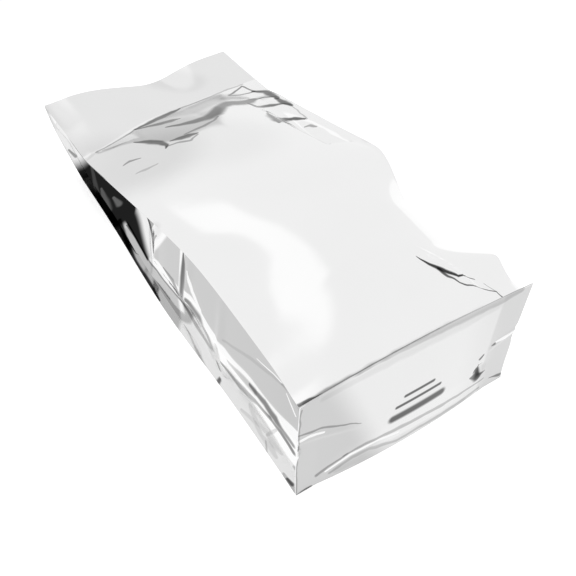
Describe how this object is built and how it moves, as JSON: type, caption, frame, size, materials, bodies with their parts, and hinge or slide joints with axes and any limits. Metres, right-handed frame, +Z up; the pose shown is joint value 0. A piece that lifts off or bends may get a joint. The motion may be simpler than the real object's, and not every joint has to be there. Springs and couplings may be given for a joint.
{
  "type": "flat bottom bag",
  "caption": "Silver film bag with side gussets and a flat base plate, shut and flat at the mouth, lying on its back panel.",
  "frame": {"origin": "centre of the bounding box, on the ground that the back panel lies on", "axes": "+X across the panels, +Y from the base plate to the mouth, +Z up, from the back panel to the front panel"},
  "size_m": [0.146, 0.3194, 0.0899],
  "materials": {
    "film": "glossy silver metallised plastic film"
  },
  "bodies": {
    "root": {"bag": "film"}
  },
  "joints": []
}
